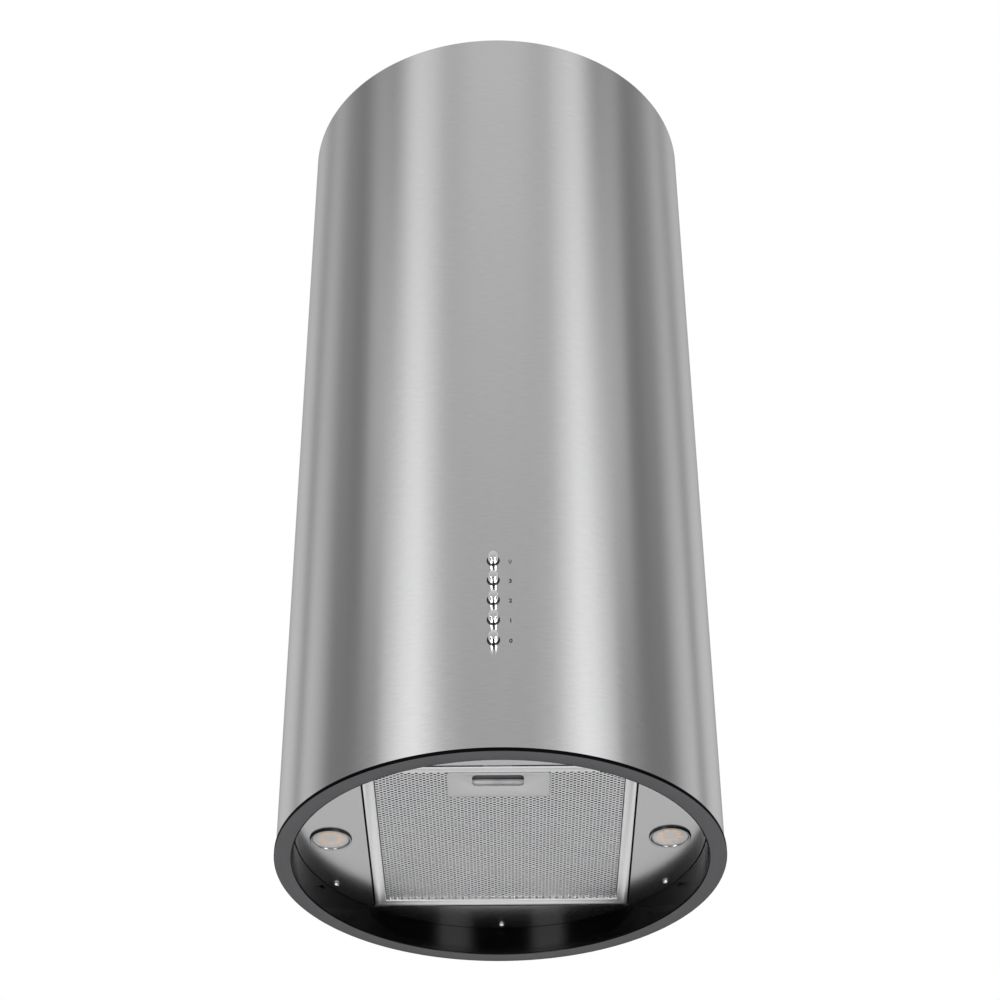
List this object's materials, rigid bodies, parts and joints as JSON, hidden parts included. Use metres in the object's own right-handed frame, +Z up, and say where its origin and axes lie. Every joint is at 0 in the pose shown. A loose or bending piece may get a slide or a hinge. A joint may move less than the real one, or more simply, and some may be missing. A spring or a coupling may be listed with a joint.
{
  "type": "island range hood",
  "caption": "Cylindrical island range hood hung from the ceiling: steel tube, black bottom ring, tipping grease filter, lamps, push buttons, blower and damper.",
  "frame": {"origin": "on the cylinder's axis, level with the lower face of the bottom ring", "axes": "+Z up towards the ceiling, -Y towards the push buttons (front), +X to the right seen from the front"},
  "size_m": [0.393, 0.4008, 0.8354],
  "materials": {
    "tube_steel": "horizontally brushed stainless steel",
    "ring_black": "satin black enamel",
    "panel_steel": "satin stainless steel",
    "screw_steel": "bright plated",
    "lamp_bezel": "bright trim ring",
    "lamp_lens": "clear lamp glass",
    "grey_plastic": "moulded",
    "black_plastic": "moulded",
    "white_plastic": "moulded",
    "zinc_sheet": "galvanised sheet",
    "shaft_steel": "ground steel",
    "button_chrome": "polished chrome",
    "filter_frame": "satin aluminium",
    "filter_mesh": "perforated aluminium layers",
    "filter_plate": "satin aluminium",
    "latch_grey": "moulded"
  },
  "bodies": {
    "root": {"outer_tube": "tube_steel", "bottom_ring": "ring_black", "base_panel": "panel_steel", "panel_screw_1": "screw_steel", "panel_screw_2": "screw_steel", "panel_screw_3": "screw_steel", "panel_screw_4": "screw_steel", "panel_screw_5": "screw_steel", "panel_screw_6": "screw_steel", "lamp_bezel_left": "lamp_bezel", "lamp_lens_left": "lamp_lens", "lamp_housing_left": "grey_plastic", "lamp_bezel_right": "lamp_bezel", "lamp_lens_right": "lamp_lens", "lamp_housing_right": "grey_plastic", "body_box": "zinc_sheet", "volute_left": "zinc_sheet", "volute_right": "zinc_sheet", "motor_body": "zinc_sheet", "motor_bracket": "zinc_sheet", "outlet_spigot": "black_plastic", "spigot_flange": "black_plastic", "foot_rail_left": "zinc_sheet", "foot_rail_right": "zinc_sheet", "damper_pin": "shaft_steel", "ceiling_plate": "zinc_sheet", "strut_lower_front_left": "zinc_sheet", "strut_upper_front_left": "zinc_sheet", "strut_lower_front_right": "zinc_sheet", "strut_upper_front_right": "zinc_sheet", "strut_lower_rear_left": "zinc_sheet", "strut_upper_rear_left": "zinc_sheet", "strut_lower_rear_right": "zinc_sheet", "strut_upper_rear_right": "zinc_sheet", "button_guide": "black_plastic", "switch_housing": "white_plastic", "switch_bracket": "zinc_sheet", "terminal_box": "black_plastic", "terminal_box_lid": "black_plastic", "cable_gland": "grey_plastic", "motor_capacitor": "white_plastic"},
    "button_1": {"button_cap_1": "button_chrome", "button_stem_1": "grey_plastic"},
    "button_2": {"button_cap_2": "button_chrome", "button_stem_2": "grey_plastic"},
    "button_3": {"button_cap_3": "button_chrome", "button_stem_3": "grey_plastic"},
    "button_4": {"button_cap_4": "button_chrome", "button_stem_4": "grey_plastic"},
    "button_5": {"button_cap_5": "button_chrome", "button_stem_5": "grey_plastic"},
    "fan": {"impeller": "black_plastic", "motor_shaft": "shaft_steel"},
    "damper_front": {"damper_flap_front": "black_plastic"},
    "damper_rear": {"damper_flap_rear": "black_plastic"},
    "filter": {"filter_frame": "filter_frame", "filter_mesh": "filter_mesh", "filter_handle_plate": "filter_plate", "latch_spring": "shaft_steel"},
    "latch": {"latch_slider": "latch_grey"}
  },
  "joints": [
    {"name": "button_1_press", "type": "slide", "parent": "root", "child": "button_1", "axis": [0, 1, 0], "range_m": [0, 0.004], "stiffness_N_per_m": 300},
    {"name": "button_2_press", "type": "slide", "parent": "root", "child": "button_2", "axis": [0, 1, 0], "range_m": [0, 0.004], "stiffness_N_per_m": 300},
    {"name": "button_3_press", "type": "slide", "parent": "root", "child": "button_3", "axis": [0, 1, 0], "range_m": [0, 0.004], "stiffness_N_per_m": 300},
    {"name": "button_4_press", "type": "slide", "parent": "root", "child": "button_4", "axis": [0, 1, 0], "range_m": [0, 0.004], "stiffness_N_per_m": 300},
    {"name": "button_5_press", "type": "slide", "parent": "root", "child": "button_5", "axis": [0, 1, 0], "range_m": [0, 0.004], "stiffness_N_per_m": 300},
    {"name": "fan_spin", "type": "hinge", "parent": "root", "child": "fan", "pos_m": [0, -0.03, 0.25], "axis": [1, 0, 0], "continuous": true},
    {"name": "damper_front_swing", "type": "hinge", "parent": "root", "child": "damper_front", "pos_m": [0, 0.03, 0.455], "axis": [-1, 0, 0], "range_deg": [0, 75]},
    {"name": "damper_rear_swing", "type": "hinge", "parent": "root", "child": "damper_rear", "pos_m": [0, 0.03, 0.455], "axis": [1, 0, 0], "range_deg": [0, 75]},
    {"name": "filter_tip", "type": "hinge", "parent": "root", "child": "filter", "pos_m": [0, 0.133, 0.027], "axis": [1, 0, 0], "range_deg": [0, 60]},
    {"name": "latch_slide", "type": "slide", "parent": "filter", "child": "latch", "axis": [0, 1, 0], "range_m": [0, 0.005], "stiffness_N_per_m": 400, "deforming": ["latch_spring"]}
  ]
}
